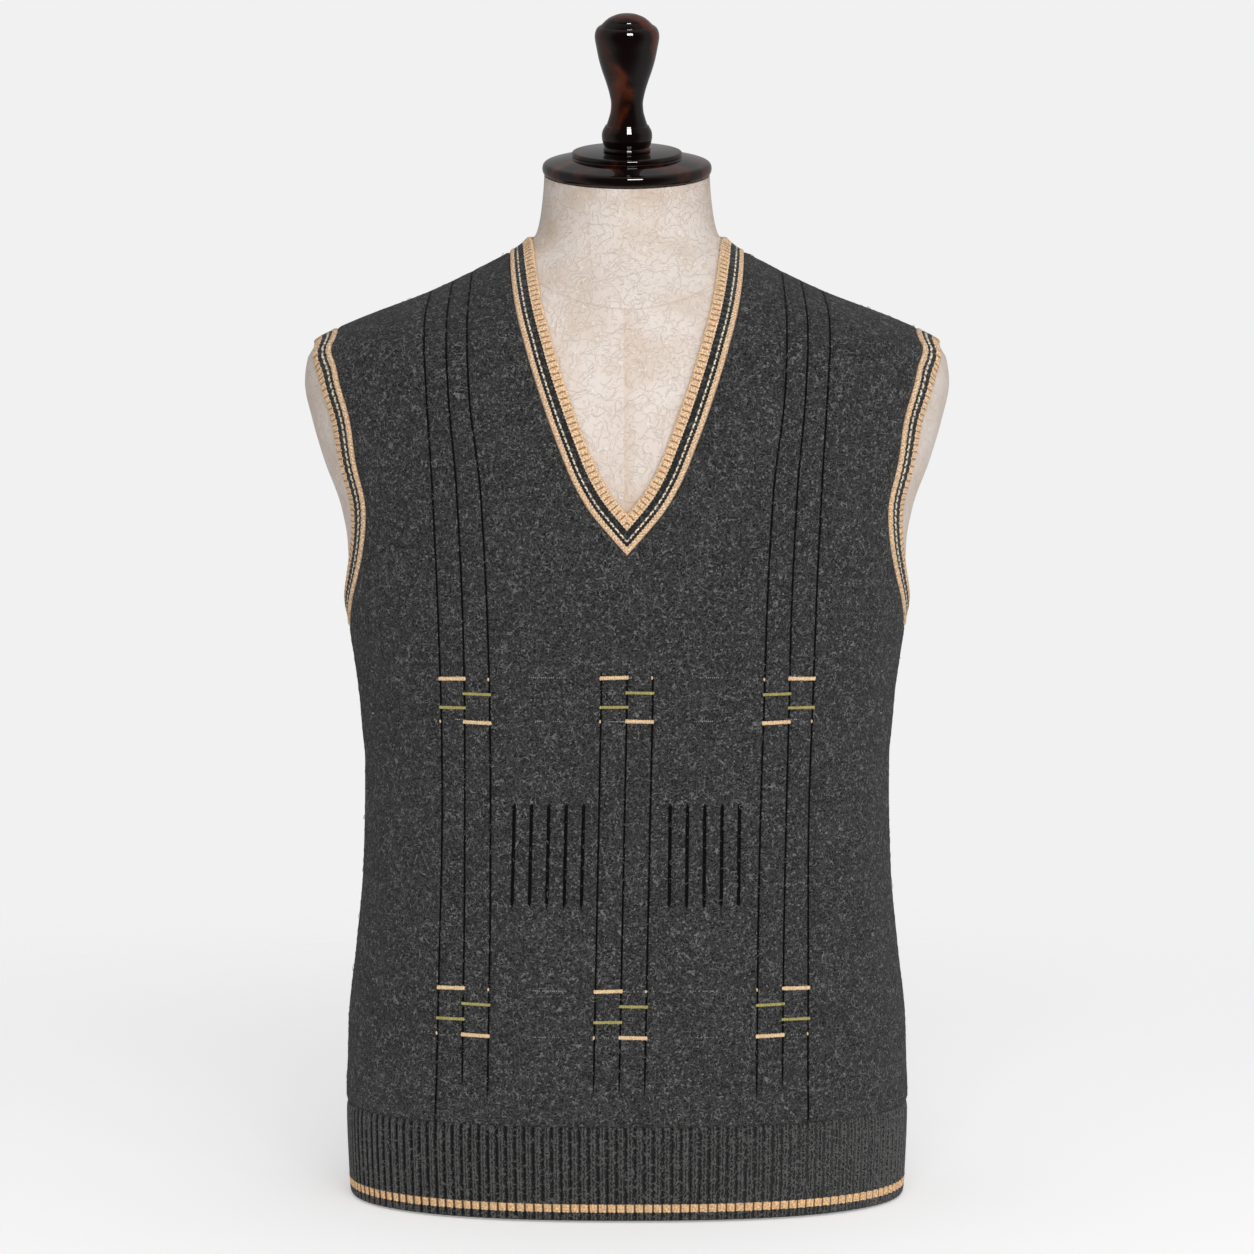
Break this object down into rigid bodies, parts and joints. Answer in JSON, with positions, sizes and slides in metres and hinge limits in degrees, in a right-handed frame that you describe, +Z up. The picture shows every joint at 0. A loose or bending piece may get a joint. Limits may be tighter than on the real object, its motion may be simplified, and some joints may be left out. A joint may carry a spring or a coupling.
{
  "type": "knitted sweater vest on a dress form",
  "caption": "Sleeveless V-neck knitted vest with ribbed hem, neck and armhole bands, worn by a limbless torso form with a turned neck cap and finial.",
  "frame": {"origin": "on the floor, at the middle of the form's flat base", "axes": "+Z up, +X towards the right of the picture, the front of the vest faces -Y"},
  "size_m": [0.436, 0.2454, 0.7985],
  "materials": {
    "knit": "charcoal marl wool jersey knit with a short haze of pale fibres",
    "rib": "charcoal marl wool rib with tan and cream tipping stripes",
    "form": "cream papier-mache shell under a finely crackled matt varnish",
    "lacquer": "turned wood under dark brown mottled gloss lacquer"
  },
  "bodies": {
    "root": {"front_panel": "knit", "back_panel": "knit", "front_hem_rib": "rib", "back_hem_rib": "rib", "neck_band": "rib", "armhole_band_right": "rib", "armhole_band_left": "rib", "form_torso": "form", "neck_cap": "lacquer", "finial": "lacquer"}
  },
  "joints": []
}
